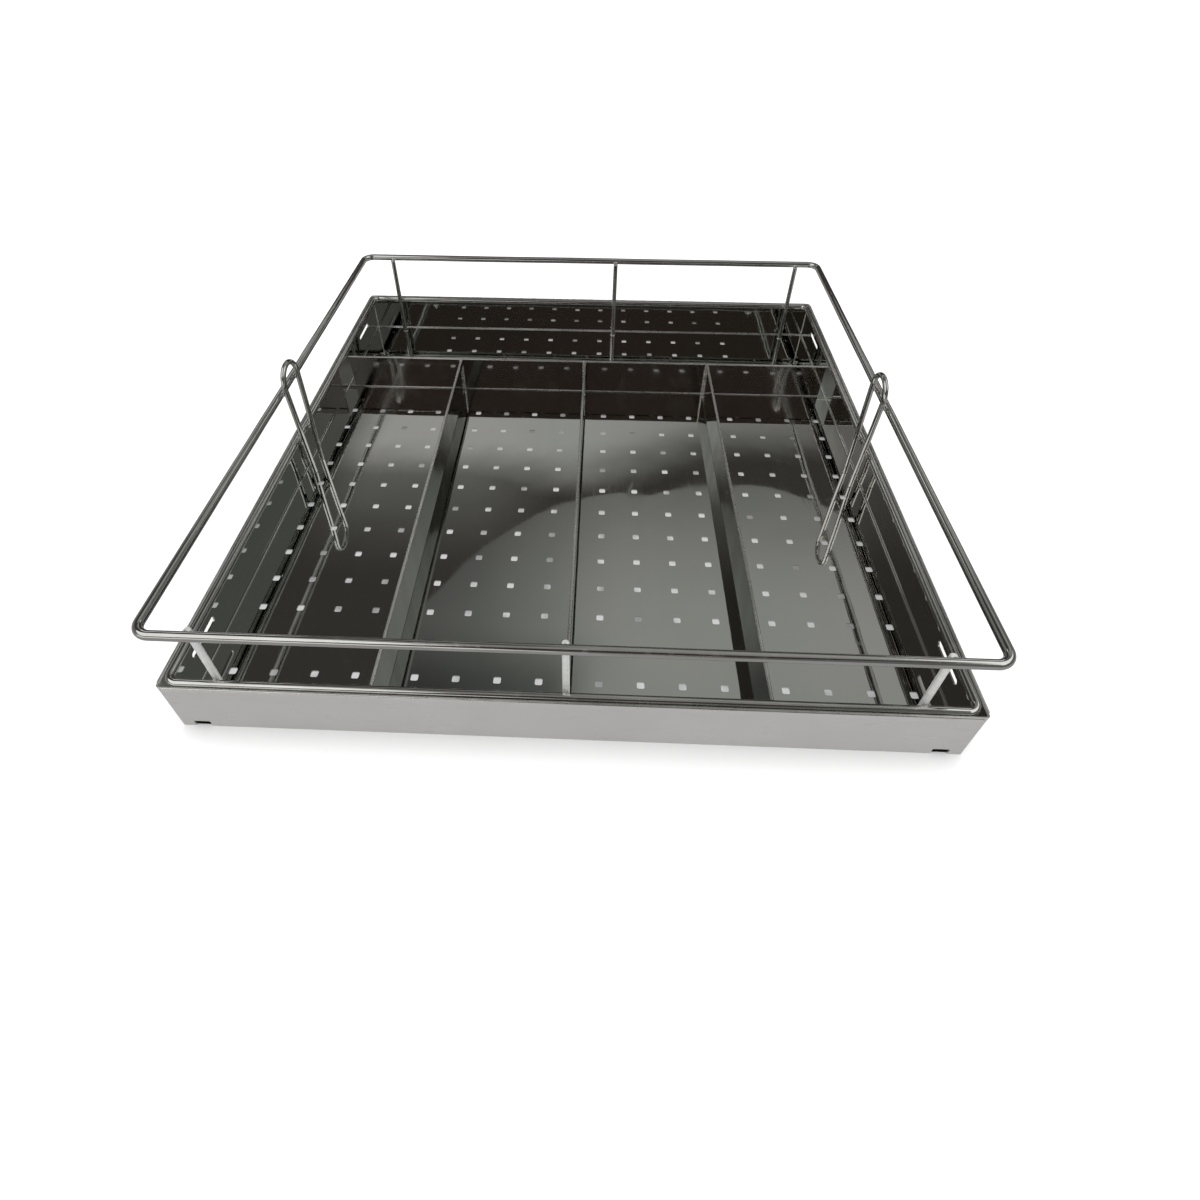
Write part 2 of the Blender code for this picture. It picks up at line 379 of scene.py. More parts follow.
def metal(name, build, metallic=1.0):
    """A metallic material whose colour, roughness and normal come from build(nodes)."""
    material, nodes = new_material(name)
    colour, roughness, normal = build(nodes)
    shader = nodes.add("ShaderNodeBsdfPrincipled")
    shader.inputs["Metallic"].default_value = metallic
    nodes.feed(shader.inputs["Base Color"], colour)
    nodes.feed(shader.inputs["Roughness"], roughness)
    nodes.link(normal, shader.inputs["Normal"])
    nodes.surface(shader.outputs[0])
    return material


def hairlines(nodes, scale, turn):
    """Thin straight scratches, long where the scale is small, turned about z."""
    vector = nodes.object_coordinates(scale=scale, turn=(0.0, 0.0, turn))
    distance = nodes.cracks(vector, 1.0)
    return nodes.ramp(distance, 0.0, 0.012, 1.0, 0.0)


def mirror_sheet(nodes):
    """Bright-annealed sheet: a mirror with slight oil-canning, hairlines and wiped smears."""
    place = nodes.object_coordinates()
    waves = nodes.noise(place, 11.0, detail=1.0)
    ripples = nodes.noise(place, 42.0, detail=1.0)
    wiped = nodes.object_coordinates(scale=(34.0, 9.0, 20.0))
    smears = nodes.noise(wiped, 1.0, detail=4.0, distortion=0.6)
    smear_mask = nodes.ramp(smears, 0.5, 0.72)
    lines = hairlines(nodes, (240.0, 6.0, 60.0), 0.05)
    crossing = hairlines(nodes, (14.0, 170.0, 60.0), 0.4)
    grain = nodes.noise(nodes.object_coordinates(scale=(1.0, 0.04, 1.0)), 1600.0, detail=2.0)
    scratches = nodes.math("MAXIMUM", lines, nodes.math("MULTIPLY", crossing, 0.6))
    roughness = nodes.ramp(grain, 0.3, 0.7, 0.012, 0.035)
    roughness = nodes.math("ADD", roughness, nodes.math("MULTIPLY", smear_mask, 0.03))
    roughness = nodes.math("ADD", roughness, nodes.math("MULTIPLY", scratches, 0.06))
    tone = nodes.noise(place, 7.0, detail=2.0)
    colour = nodes.mix(nodes.ramp(tone, 0.35, 0.65), (0.60, 0.62, 0.59), (0.66, 0.655, 0.63))
    colour = nodes.mix(nodes.math("MULTIPLY", smear_mask, 0.10), colour, (0.50, 0.49, 0.46))
    normal = nodes.bump(waves, 0.00034)
    normal = nodes.bump(ripples, 0.000035, normal)
    normal = nodes.bump(grain, 0.0000012, normal)
    return colour, roughness, normal


def satin_sheet(nodes):
    """The pan's outer face: long horizontal polishing lines, faint scuffs and dull spots."""
    lines = nodes.noise(nodes.object_coordinates(scale=(0.012, 0.012, 1.0)), 2600.0, detail=3.0)
    blotches = nodes.noise(nodes.object_coordinates(), 17.0, detail=2.0)
    flattened = nodes.object_coordinates(scale=(30.0, 30.0, 160.0))
    scuffs = nodes.noise(flattened, 1.0, detail=5.0, distortion=1.2)
    scuff_mask = nodes.ramp(scuffs, 0.62, 0.74)
    roughness = nodes.ramp(lines, 0.3, 0.7, 0.27, 0.34)
    roughness = nodes.math("ADD", roughness, nodes.ramp(blotches, 0.4, 0.7, 0.0, 0.06))
    colour = nodes.mix(nodes.ramp(blotches, 0.35, 0.7), (0.815, 0.80, 0.79), (0.76, 0.755, 0.74))
    colour = nodes.mix(nodes.math("MULTIPLY", scuff_mask, 0.22), colour, (0.56, 0.55, 0.53))
    normal = nodes.bump(nodes.noise(nodes.object_coordinates(), 16.0, detail=1.0), 0.0006)
    normal = nodes.bump(lines, 0.0000022, normal)
    return colour, roughness, normal


def drawn_wire(nodes):
    """Bright drawn wire: fine lines along its length, small rub marks."""
    lines = nodes.noise(nodes.uv_coordinates((3.0, 12.0, 1.0)), 1.0, detail=2.0)
    rubs = nodes.noise(nodes.object_coordinates(), 120.0, detail=3.0)
    rub_mask = nodes.ramp(rubs, 0.56, 0.7)
    roughness = nodes.ramp(lines, 0.3, 0.7, 0.05, 0.12)
    roughness = nodes.math("ADD", roughness, nodes.math("MULTIPLY", rub_mask, 0.10))
    tone = nodes.noise(nodes.object_coordinates(), 30.0, detail=2.0)
    colour = nodes.mix(nodes.ramp(tone, 0.35, 0.65), (0.66, 0.66, 0.645), (0.58, 0.575, 0.555))
    normal = nodes.bump(nodes.noise(nodes.object_coordinates(), 70.0, detail=1.0), 0.00006)
    normal = nodes.bump(lines, 0.000002, normal)
    return colour, roughness, normal


def satin_wire(nodes):
    """The front uprights: the same wire, rougher, and painted paler to stand in for the light they catch.
    """
    rubs = nodes.noise(nodes.object_coordinates(), 150.0, detail=3.0)
    rings = nodes.noise(nodes.object_coordinates(scale=(1.0, 1.0, 9.0)), 130.0, detail=2.0)
    roughness = nodes.ramp(rubs, 0.35, 0.7, 0.36, 0.46)
    colour = nodes.mix(nodes.ramp(rings, 0.35, 0.65), (0.88, 0.88, 0.865), (0.80, 0.795, 0.78))
    normal = nodes.bump(rubs, 0.000006)
    return colour, roughness, normal


def divider_steel(nodes, bright=(0.62, 0.60, 0.58), dull=(0.54, 0.52, 0.50), lean=0.0):
    """Thin divider sheet: a duller mirror, wavier than the pan's floor, that may seem to lean over."""
    place = nodes.object_coordinates()
    waves = nodes.noise(place, 18.0, detail=1.0)
    streaks = nodes.noise(nodes.object_coordinates(scale=(60.0, 60.0, 5.0)), 1.0, detail=3.0)
    smears = nodes.noise(place, 28.0, detail=4.0, distortion=0.8)
    smear_mask = nodes.ramp(smears, 0.52, 0.7)
    roughness = nodes.ramp(streaks, 0.3, 0.7, 0.06, 0.11)
    roughness = nodes.math("ADD", roughness, nodes.math("MULTIPLY", smear_mask, 0.05))
    colour = nodes.mix(nodes.ramp(streaks, 0.35, 0.7), bright, dull)
    normal = nodes.bump(waves, 0.00042)
    normal = nodes.bump(nodes.noise(place, 90.0, detail=1.0), 0.000016, normal)
    if lean:
        normal = nodes.bump(nodes.split(place)[2], lean, normal)
    return colour, roughness, normal


def long_divider_steel(nodes):
    """The same sheet, painted darker as a stand-in for shade, its webs seeming to lean slightly."""
    # Painted shade: the long dividers take darker tones than the cross divider.
    return divider_steel(nodes, (0.31, 0.32, 0.298), (0.25, 0.255, 0.238), WEB_LEAN)


def rubbed_edge(nodes):
    """Folded edges and bends: a little matt, and painted pale in patches as a highlight."""
    rubs = nodes.noise(nodes.object_coordinates(), 90.0, detail=2.0)
    patches = nodes.noise(nodes.object_coordinates(), 9.0, detail=1.0)
    roughness = nodes.ramp(rubs, 0.3, 0.7, 0.22, 0.36)
    colour = nodes.mix(nodes.ramp(patches, 0.38, 0.62), (0.60, 0.595, 0.575), (0.36, 0.355, 0.34))
    normal = nodes.bump(rubs, 0.000002)
    return colour, roughness, normal


def weld_metal(nodes):
    """Resistance welds: rippled, duller, straw and brown from the heat."""
    place = nodes.object_coordinates()
    ripples = nodes.noise(place, 900.0, detail=2.0)
    heat = nodes.noise(place, 220.0, detail=2.0)
    colour = nodes.mix(nodes.ramp(heat, 0.4, 0.7), (0.66, 0.65, 0.62), (0.48, 0.44, 0.38))
    roughness = nodes.ramp(ripples, 0.3, 0.7, 0.2, 0.42)
    normal = nodes.bump(ripples, 0.00012)
    return colour, roughness, normal


# ================= the pan =================

def hemmed_wall_profile(wall_top, hem_bottom):
    """Wall, folded outward and down at the top: (outward, height) points, once round."""
    fold = (2 * SHEET + HEM_GAP) / 2
    bend_height = wall_top - fold
    leaf_inner = SHEET + HEM_GAP
    leaf_outer = leaf_inner + SHEET
    profile = [(EDGE_BREAK, 0.0), (0.0, EDGE_BREAK)]
    profile += arc((fold, bend_height), fold, 180, 0, HEM_STEPS)
    profile += [(leaf_outer, hem_bottom + EDGE_BREAK), (leaf_outer - EDGE_BREAK, hem_bottom)]
    profile += [(leaf_inner + EDGE_BREAK, hem_bottom), (leaf_inner, hem_bottom + EDGE_BREAK)]
    profile += arc((fold, bend_height), HEM_GAP / 2, 0, 180, HEM_INSIDE_STEPS)
    profile += [(SHEET, EDGE_BREAK), (SHEET - EDGE_BREAK, 0.0)]
    return profile


def slot_cutters(half_width, half_depth):
    """Round-ended slots in the side walls and open notches in the front skirt."""
    bm = bmesh.new()
    for side in (-1, 1):
        for end in (-1, 1):
            centre = (end * SIDE_SLOT_FROM_MIDDLE, SIDE_SLOT_Z)
            outline = rounded_outline(*SIDE_SLOT, SIDE_SLOT_CORNER, SLOT_CORNER_STEPS, *centre)
            near = side * (half_width - CUT_MARGIN)
            far = side * (half_width + SHEET + CUT_MARGIN)
            add_prism(bm, outline, near, far, lambda u, v, level: (level, u, v))
        notch = (NOTCH_LENGTH, 2 * NOTCH_HEIGHT)
        outline = rounded_outline(*notch, NOTCH_CORNER, SLOT_CORNER_STEPS, side * NOTCH_FROM_MIDDLE)
        near = -(half_depth - NOTCH_OVERCUT)
        far = -(half_depth + SHEET + CUT_MARGIN)
        add_prism(bm, outline, near, far, lambda u, v, level: (u, level, v))
    return bm


def hem_corner_cutters(half_width, half_depth, low, high):
    """Four blocks that end the hem just short of each corner and leave the wall itself whole."""
    bm = bmesh.new()
    radius = INNER_CORNER_RADIUS + SHEET
    face_x = half_width + SHEET
    face_y = half_depth + SHEET
    far_x = face_x + HEM_STOP
    far_y = face_y + HEM_STOP
    outline = [(far_x, face_y - HEM_STOP), (face_x + HEM_CLEARANCE, face_y - HEM_STOP)]
    outline += arc((face_x - radius, face_y - radius), radius + HEM_CLEARANCE, 0, 90, CORNER_STEPS)
    outline += [(face_x - HEM_STOP, face_y + HEM_CLEARANCE), (face_x - HEM_STOP, far_y), (far_x, far_y)]
    for side in (-1, 1):
        for end in (-1, 1):
            add_prism(bm, [(side * x, end * y) for x, y in outline], low, high, upright)
    return bm


def hole_centres():
    """Yield the centre of every perforation."""
    middle = (COLUMNS_PER_COMPARTMENT - 1) / 2
    for compartment in (-1.5, -0.5, 0.5, 1.5):
        for column in range(COLUMNS_PER_COMPARTMENT):
            x = compartment * COMPARTMENT_PITCH + (column - middle) * HOLE_PITCH
            for row in range(FRONT_ROWS):
                yield x, FRONT_FIRST_ROW_Y + row * HOLE_PITCH
    for column in range(REAR_COLUMNS):
        x = (column - (REAR_COLUMNS - 1) / 2) * HOLE_PITCH
        for row in range(REAR_ROWS):
            yield x, REAR_FIRST_ROW_Y + row * HOLE_PITCH


def inside_of_pan():
    """Half width and half depth at the walls' inner faces, and the height of the walls' top."""
    low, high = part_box("tray_pan")
    overhang = 2 * SHEET + HEM_GAP
    return high.x - overhang, high.y - overhang, high.z


def frame_floor_top():
    """Height of the floor's upper face, from the record's mount on it."""
    heights = {mount["name"]: mount["pos_m"][2] for mount in frame["record"]["mounts"]}
    return heights["floor_top"]


def make_walls(materials):
    """Walls with hem, slots and notches: mirror inside, satin outside, painted pale along the top as a
    highlight.
    """
    half_width, half_depth, wall_top = inside_of_pan()
    hem_bottom = wall_top - HEM_HEIGHT
    profile = hemmed_wall_profile(wall_top, hem_bottom)
    swept = sweep_round_rectangle(profile, half_width, half_depth, INNER_CORNER_RADIUS)
    walls = finish_mesh("pan_walls", swept, materials["mirror"])
    apply_cut(walls, slot_cutters(half_width, half_depth))
    cut_low = hem_bottom - CUT_MARGIN
    cut_high = wall_top + CUT_MARGIN
    apply_cut(walls, hem_corner_cutters(half_width, half_depth, cut_low, cut_high))

    def is_satin(centre):
        past_x = abs(centre.x) - half_width
        past_y = abs(centre.y) - half_depth
        outside = max(past_x, past_y) > SHEET / 2
        in_corner = min(past_x, past_y) > -INNER_CORNER_RADIUS
        return (outside or in_corner) and not is_fold_top(centre)

    def is_fold_top(centre):
        return centre.z >= wall_top - SHEET / 2

    paint(walls, materials["satin"], is_satin)
    # Painted highlight: the fold along the top takes the pale edge finish.
    paint(walls, materials["edge"], is_fold_top)
    add_piece(walls, "tray", "polished_sheet", "tray_pan")


def make_floor(materials):
    """The perforated floor sheet, let a little into the walls."""
    half_width, half_depth, _ = inside_of_pan()
    floor_top = frame_floor_top()
    width = 2 * (half_width + FLOOR_TUCK)
    depth = 2 * (half_depth + FLOOR_TUCK)
    bm = bmesh.new()
    outline = rounded_outline(width, depth, INNER_CORNER_RADIUS + FLOOR_TUCK, SMALL_CORNER_STEPS)
    add_prism(bm, outline, floor_top - SHEET, floor_top, upright)
    floor = finish_mesh("pan_floor", bm, materials["mirror"])

    punches = bmesh.new()
    punch_low = floor_top - SHEET - CUT_MARGIN
    for x, y in hole_centres():
        outline = rounded_outline(HOLE_SIDE, HOLE_SIDE, HOLE_CORNER, SMALL_CORNER_STEPS, x, y)
        add_prism(punches, outline, punch_low, floor_top + CUT_MARGIN, upright)
    apply_cut(floor, punches)
    add_piece(floor, "tray", "polished_sheet", "tray_pan")


def make_bend(materials):
    """The small rounded bend between floor and walls, painted pale along the back as a highlight."""
    half_width, half_depth, _ = inside_of_pan()
    floor_top = frame_floor_top()
    bottom = floor_top - EDGE_BREAK
    top = floor_top + FLOOR_FILLET
    profile = [(0.0, bottom), (FLOOR_TUCK, bottom), (FLOOR_TUCK, top), (0.0, top)]
    profile += arc((-FLOOR_FILLET, top), FLOOR_FILLET, 0, -90, FILLET_STEPS)[1:]
    profile.append((-FLOOR_FILLET, bottom))
    swept = sweep_round_rectangle(profile, half_width, half_depth, FLOOR_FILLET + INNER_CORNER_RADIUS)
    bend = finish_mesh("pan_bend", swept, materials["mirror"])
    # Painted highlight: only the back run of the bend is pale.
    paint(bend, materials["edge"], lambda centre: centre.y > half_depth - FLOOR_FILLET)
    add_piece(bend, "tray", "polished_sheet", "tray_pan")


# ================= wires =================

def unevenness(seed, distance):
    """A small smooth sideways drift along a hand-bent wire."""
    across = Vector((distance * WOBBLES_PER_METRE, seed * 7.31, 0.5))
    up = across + Vector((0.0, 0.0, 9.0))
    return noise.noise(across) * WOBBLE, noise.noise(up) * WOBBLE


def tube(name, points, radius, side_axis, material, closed=False):
    """A round wire as a closed mesh, with UVs running along it and round it."""
    bm = bmesh.new()
    uv = bm.loops.layers.uv.new("wire")
    points = [Vector(point) for point in points]
    count = len(points)
    rings = []
    lengths = []
    travelled = 0.0
    for index, point in enumerate(points):
        if index:
            travelled += (point - points[index - 1]).length
        if closed:
            tangent = points[(index + 1) % count] - points[index - 1]
        else:
            tangent = points[min(index + 1, count - 1)] - points[max(index - 1, 0)]
        tangent.normalize()
        across = side_axis.cross(tangent).normalized()
        up = tangent.cross(across)
        stations = [(point, radius)]
        past = radius * DOME_DEPTH_IN_RADII
        if not closed and index == 0:
            stations = [(point + tangent * (inward - past), size) for inward, size in dome(radius)]
        if not closed and index == count - 1:
            stations = [(point - tangent * (inward - past), size) for inward, size in dome(radius)]
            stations.reverse()
        for centre, size in stations:
            ring = []
            for side in range(TUBE_SIDES):
                angle = 2 * math.pi * side / TUBE_SIDES
                spoke = across * math.cos(angle) + up * math.sin(angle)
                ring.append(bm.verts.new(centre + spoke * size))
            rings.append(ring)
            lengths.append(travelled)
    join_rings(bm, uv, rings, lengths, closed, travelled)
    return finish_mesh(name, bm, material, TUBE_SHARP_ANGLE)


def dome(radius):
    """(distance in from the tip, ring radius) for a slightly rounded wire end."""
    softened = radius * DOME_DEPTH_IN_RADII
    steps = []
    for step in range(DOME_STEPS + 1):
        angle = math.pi / 2 * step / DOME_STEPS
        steps.append((softened * (1 - math.cos(angle)), radius - softened * (1 - math.sin(angle))))
    return steps


def join_rings(bm, uv, rings, lengths, closed, total):
    """Skin neighbouring rings and cap open ends."""
    pairs = list(zip(rings, rings[1:], lengths, lengths[1:]))
    if closed:
        last_step = (rings[0][0].co - rings[-1][0].co).length
        pairs.append((rings[-1], rings[0], lengths[-1], total + last_step))
    for here, there, start, stop in pairs:
        for side in range(TUBE_SIDES):
            after = (side + 1) % TUBE_SIDES
            face = bm.faces.new((here[side], here[after], there[after], there[side]))
            turns = (side / TUBE_SIDES, (side + 1) / TUBE_SIDES)
            corners = ((start, turns[0]), (start, turns[1]), (stop, turns[1]), (stop, turns[0]))
            for loop, corner in zip(face.loops, corners):
                loop[uv].uv = corner
    if not closed:
        bm.faces.new(rings[0])
        bm.faces.new(list(reversed(rings[-1])))


def straight_run(start, stop):
    """Points along a straight length, start included and stop left out."""
    start = Vector(start)
    stop = Vector(stop)
    steps = max(1, round((stop - start).length / STRAIGHT_STEP))
    return [start.lerp(stop, step / steps) for step in range(steps)]


def ring_path(half_width, half_depth, radius, height, seed):
    """A rounded rectangle of wire with a little unevenness in its straight runs."""
    corners = corner_arcs(half_width, half_depth, radius, RING_CORNER_STEPS)
    path = []
    for index, corner in enumerate(corners):
        path += [(u, v, height) for u, v in corner[:-1]]
        last = corner[-1]
        first = corners[(index + 1) % 4][0]
        along_x = abs(first[0] - last[0]) > abs(first[1] - last[1])
        run = straight_run((*last, height), (*first, height))
        for step, point in enumerate(run):
            fade = math.sin(math.pi * step / len(run))
            across, up = unevenness(seed, point.x + 3 * point.y)
            drift = Vector((0.0, across, up)) if along_x else Vector((across, 0.0, up))
            path.append(point + drift * fade)
    return path


def make_rings(material):
    """The rim wire and the gallery rail."""
    for name, node, corner, seed in (
        ("rim_ring", "rim_wire", RIM_CORNER_RADIUS, 1),
        ("gallery_ring", "gallery_rail", RAIL_CORNER_RADIUS, 2),
    ):
        low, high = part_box(node)
        radius = (high.z - low.z) / 2
        path = ring_path(high.x - radius, high.y - radius, corner, (low.z + high.z) / 2, seed)
        item = tube(name, path, radius, Vector((0.0, 0.0, 1.0)), material, closed=True)
        add_piece(item, "tray", "bright_wire", node)


def post_axis(node):
    """Foot, top and radius of an upright, from its CAD box."""
    low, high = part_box(node)
    middle = (low + high) / 2
    radius = (high.x - low.x) / 2
    return Vector((middle.x, middle.y, low.z)), Vector((middle.x, middle.y, high.z)), radius


def make_posts(front_material, back_material):
    """Six uprights, the front three a rougher copy of the wire painted paler as a stand-in for light, the
    back three plain wire.
    """
    for node in sorted(name for name in frame["nodes"] if name.startswith("post_")):
        foot, top, radius = post_axis(node)
        path = straight_run(foot, top) + [top]
        name = node.replace("post_", "upright_")
        material = front_material if "front" in node else back_material
        item = tube(name, path, radius, Vector((1.0, 0.0, 0.0)), material)
        add_piece(item, "tray", "bright_wire", node)


def loop_shape(node):
    """x, half spacing at the bend, wire radius, foot and top of the wire's centre line."""
    low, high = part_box(node)
    radius = (high.x - low.x) / 2
    return (low.x + high.x) / 2, high.y - radius, radius, low.z, high.z - radius


def make_loops(material):
    """Hairpins standing inside the side walls, their legs closer together at the foot."""
    for side in ("left", "right"):
        node = f"side_loop_{side}"
        x, half, radius, foot, top = loop_shape(node)
        bend = arc((0.0, top - half), half, 0, 180, HAIRPIN_BEND_STEPS)
        path = straight_run((x, LOOP_FOOT_HALF_SPACING, foot), (x, half, top - half))
        path += [Vector((x, y, z)) for y, z in bend[:-1]]
        path += straight_run((x, -half, top - half), (x, -LOOP_FOOT_HALF_SPACING, foot))
        path.append(Vector((x, -LOOP_FOOT_HALF_SPACING, foot)))
        item = tube(f"hairpin_{side}", path, radius, Vector((1.0, 0.0, 0.0)), material)
        add_piece(item, "tray", "bright_wire", node)


# ================= dividers =================

def divider_profile(height, toe):
    """Web, folded flat at its top, with a flared toe unless toe is 0: (across, up) points, once round."""
    fold = (2 * DIVIDER_SHEET + HEM_GAP) / 2
    bend_height = height - fold
    web_outer = -fold
    web_inner = web_outer + DIVIDER_SHEET
    leaf_inner = fold - DIVIDER_SHEET
    leaf_bottom = height - DIVIDER_FOLD_HEIGHT
    profile = [(web_outer + EDGE_BREAK, 0.0), (web_outer, EDGE_BREAK)]
    profile += arc((0.0, bend_height), fold, 180, 0, HEM_STEPS)
    profile += [(fold, leaf_bottom + EDGE_BREAK), (fold - EDGE_BREAK, leaf_bottom)]
    profile += [(leaf_inner + EDGE_BREAK, leaf_bottom), (leaf_inner, leaf_bottom + EDGE_BREAK)]
    profile += arc((0.0, bend_height), HEM_GAP / 2, 0, 180, HEM_INSIDE_STEPS)
    if toe:
        profile += arc((web_inner + toe, toe + EDGE_BREAK), toe, 180, 270, TOE_STEPS)
        profile.append((web_inner + toe, 0.0))
    else:
        profile += [(web_inner, EDGE_BREAK), (web_inner - EDGE_BREAK, 0.0)]
    return profile


def make_divider(name, node, along_x, materials):
    """One folded divider in the place of its CAD solid; the long ones run slightly askew."""
    low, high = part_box(node)
    toe = TOE if along_x else 0.0
    profile = divider_profile(high.z - low.z, toe)
    front_x = high.x - DIVIDER_CAD_HALF_THICKNESS
    back_x = low.x + DIVIDER_CAD_HALF_THICKNESS
    middle_y = (low.y + high.y) / 2

    def place_across(u, v, level):
        return level, middle_y - u, low.z + v

    def place_lengthwise(u, v, level):
        share = (level - low.y) / (high.y - low.y)
        return front_x + share * (back_x - front_x) + u, level, low.z + v

    bm = bmesh.new()
    if along_x:
        add_prism(bm, profile, low.x, high.x, place_across)
    else:
        add_prism(bm, profile, low.y, high.y, place_lengthwise)
    item = finish_mesh(name, bm, materials["divider" if along_x else "long_divider"])
    fold_bottom = high.z - DIVIDER_SHEET * 0.8
    toe_top = low.z + toe
    # Painted highlight: the fold along the top and the toe take the pale edge finish.
    paint(item, materials["edge"], lambda centre: centre.z > fold_bottom or centre.z < toe_top)
    return add_piece(item, "divider_grid", "divider_sheet", node)


def make_dividers(materials):
    """The cross divider and the three that run from the front to it."""
    make_divider("partition_cross", "cross_divider", True, materials)
    for place in ("left", "middle", "right"):
        make_divider(f"partition_{place}", f"long_divider_{place}", False, materials)


# ================= welds =================

def nugget(bm, centre, radii, seed):
    """One lump of weld metal."""
    made = bmesh.ops.create_icosphere(bm, subdivisions=3, radius=1.0)["verts"]
    for vert in made:
        lump = 1.0 + NUGGET_LUMPINESS * noise.noise(vert.co * 1.7 + Vector((seed * 3.7, 0.0, 0.0)))
        vert.co = Vector(centre) + Vector([vert.co[axis] * radii[axis] * lump for axis in range(3)])


def wire_middle(node):
    """Half width, half depth, height and radius of a ring's centre line."""
    low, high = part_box(node)
    radius = (high.z - low.z) / 2
    return high.x - radius, high.y - radius, (low.z + high.z) / 2, radius


def make_gallery_welds(material):
    """Nuggets where uprights and hairpins meet the two rings, and fillets at their feet."""
    bm = bmesh.new()
    seed = 0
    rings = [wire_middle("rim_wire"), wire_middle("gallery_rail")]
    for node in sorted(name for name in frame["nodes"] if name.startswith("post_")):
        foot, top, radius = post_axis(node)
        for half_width, half_depth, height, ring_radius in rings:
            seed += 1
            share = (height - foot.z) / (top.z - foot.z)
            at = foot.lerp(top, share)
            side = 1 if at.y > 0 else -1
            touch_y = side * (half_depth - ring_radius) - side * WELD_OFFSET
            nugget(bm, (at.x, touch_y, height - POST_WELD_DROP), POST_RING_WELD, seed)
        seed += 1
        nugget(bm, foot + Vector((0.0, 0.0, WELD_OFFSET)), POST_FOOT_WELD, seed)
    for side in ("left", "right"):
        x, half, radius, foot, top = loop_shape(f"side_loop_{side}")
        sign = 1 if x > 0 else -1
        for leg in (-1, 1):
            for half_width, half_depth, height, ring_radius in rings:
                seed += 1
                share = min((height - foot) / (top - half - foot), 1.0)
                spread = LOOP_FOOT_HALF_SPACING + share * (half - LOOP_FOOT_HALF_SPACING)
                touch_x = sign * (half_width - ring_radius) - sign * WELD_OFFSET
                nugget(bm, (touch_x, leg * spread, height), HAIRPIN_RING_WELD, seed)
            seed += 1
            leg_foot = (x, leg * LOOP_FOOT_HALF_SPACING, foot + WELD_OFFSET)
            nugget(bm, leg_foot, HAIRPIN_FOOT_WELD, seed)
    item = finish_mesh("gallery_welds", bm, material, WELD_SHARP_ANGLE)
    add_piece(item, "tray", "bright_wire")


def make_rim_tacks(material):
    """Tack welds that hold the rim wire to the wall, below the wire."""
    bm = bmesh.new()
    half_width, half_depth, height, radius = wire_middle("rim_wire")
    z = height - radius * TACK_DOWN_IN_RADII
    x = half_width + radius * TACK_OUT_IN_RADII
    y = half_depth + radius * TACK_OUT_IN_RADII
    seed = 100
    for share in TACK_SHARES:
        for side in (-1, 1):
            seed += 1
            nugget(bm, (share * half_width, side * y, z), TACK_ALONG_X, seed)
            seed += 1
            nugget(bm, (side * x, share * half_depth, z), TACK_ALONG_Y, seed)
    item = finish_mesh("rim_tack_welds", bm, material, WELD_SHARP_ANGLE)
    add_piece(item, "tray", "bright_wire")


def make_divider_welds(material):
    """Short beads in the corners where the long dividers meet the cross divider."""
    bm = bmesh.new()
    seed = 200
    for place in ("left", "middle", "right"):
        low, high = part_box(f"long_divider_{place}")
        back_x = low.x + DIVIDER_CAD_HALF_THICKNESS
        for side in (-1, 1):
            x = back_x - WEB_FROM_FOLD_MIDDLE + side * BEAD_FROM_WEB_MIDDLE
            for share in BEAD_SHARES:
                seed += 1
                z = low.z + share * (high.z - low.z)
                nugget(bm, (x, high.y + WELD_OFFSET, z), DIVIDER_BEAD, seed)
    item = finish_mesh("divider_welds", bm, material, WELD_SHARP_ANGLE)
    add_piece(item, "divider_grid", "divider_sheet")


# ================= stage =================

GROUND_SIZE = 8.0
GROUND_SEEN_IN_STEEL = 0.36
CONTACT_SHADE_REACH = 14 * MM
CARD_HEIGHT = 0.2 * MM
PAD_HEIGHT = 0.4 * MM
PAD_MARGIN = 6 * MM


def ground_material():
    """Pale ground with a painted contact shadow right at a contact, and a plain grey where the steel
    mirrors it.
    """
    material, nodes = new_material("pale_ground")
    path = nodes.add("ShaderNodeLightPath")
    contact = nodes.add("ShaderNodeAmbientOcclusion", samples=12)
    contact.inputs["Distance"].default_value = CONTACT_SHADE_REACH
    plain = nodes.add("ShaderNodeBsdfDiffuse")
    # Painted shadow: the ground's colour darkens where ambient occlusion finds a contact.
    paleness_with_painted_shadow = nodes.mix(contact.outputs["AO"], (0.55, 0.55, 0.55), (0.92, 0.92, 0.92))
    nodes.feed(plain.inputs["Color"], paleness_with_painted_shadow)
    glow = nodes.add("ShaderNodeEmission")
    glow.inputs["Color"].default_value = (1.0, 0.995, 0.98, 1.0)
    glow.inputs["Strength"].default_value = GROUND_SEEN_IN_STEEL
    mix = nodes.add("ShaderNodeMixShader")
    nodes.link(path.outputs["Is Glossy Ray"], mix.inputs[0])
    nodes.link(plain.outputs[0], mix.inputs[1])
    nodes.link(glow.outputs[0], mix.inputs[2])
    nodes.surface(mix.outputs[0])
    return material


